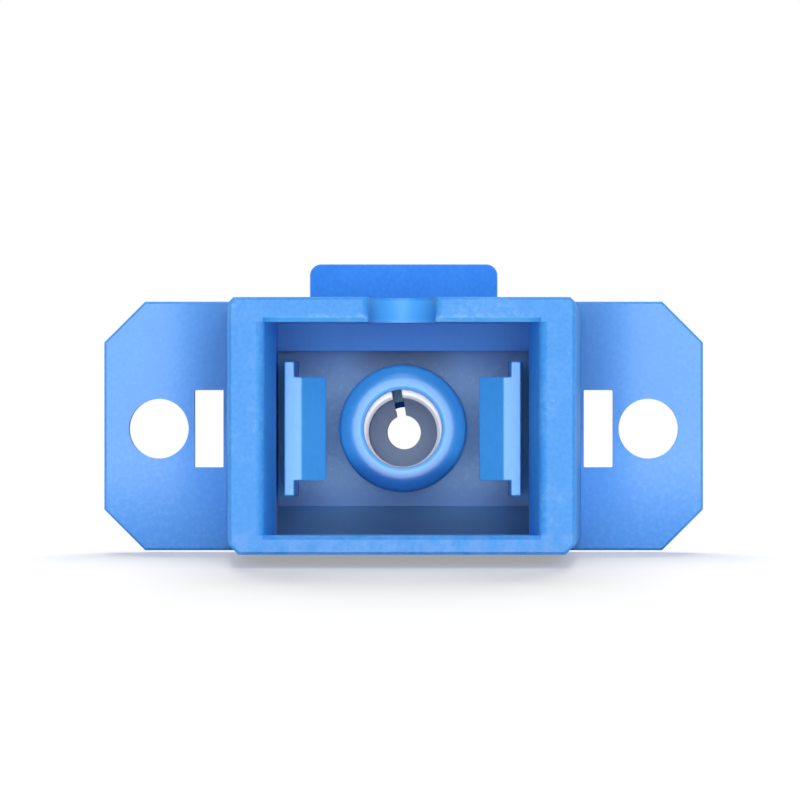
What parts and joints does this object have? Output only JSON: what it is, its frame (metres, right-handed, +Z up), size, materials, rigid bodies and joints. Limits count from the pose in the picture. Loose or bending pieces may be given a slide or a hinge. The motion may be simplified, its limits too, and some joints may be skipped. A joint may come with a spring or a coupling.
{
  "type": "hybrid fibre adapter",
  "caption": "Flanged panel adapter of blue moulded plastic that joins a square push-pull fibre plug to a small latched fibre plug in a stepped ceramic sleeve.",
  "frame": {"origin": "where the optical axis crosses the flange's panel face, midway between the two screw holes", "axes": "+Y along the optical axis from the square port to the small port, +Z up on the keyed side, +X across the flange"},
  "size_m": [0.022, 0.025, 0.0106],
  "materials": {
    "housing_plastic": "fine spark-eroded texture, satin",
    "insert_plastic": "smooth moulded, satin",
    "sleeve_ceramic": "ground zirconia, semi-gloss",
    "rear_plastic": "fine spark-eroded texture, satin"
  },
  "bodies": {
    "root": {"front_housing": "housing_plastic", "latch_insert": "insert_plastic", "split_sleeve": "sleeve_ceramic", "rear_housing": "rear_plastic"}
  },
  "joints": []
}
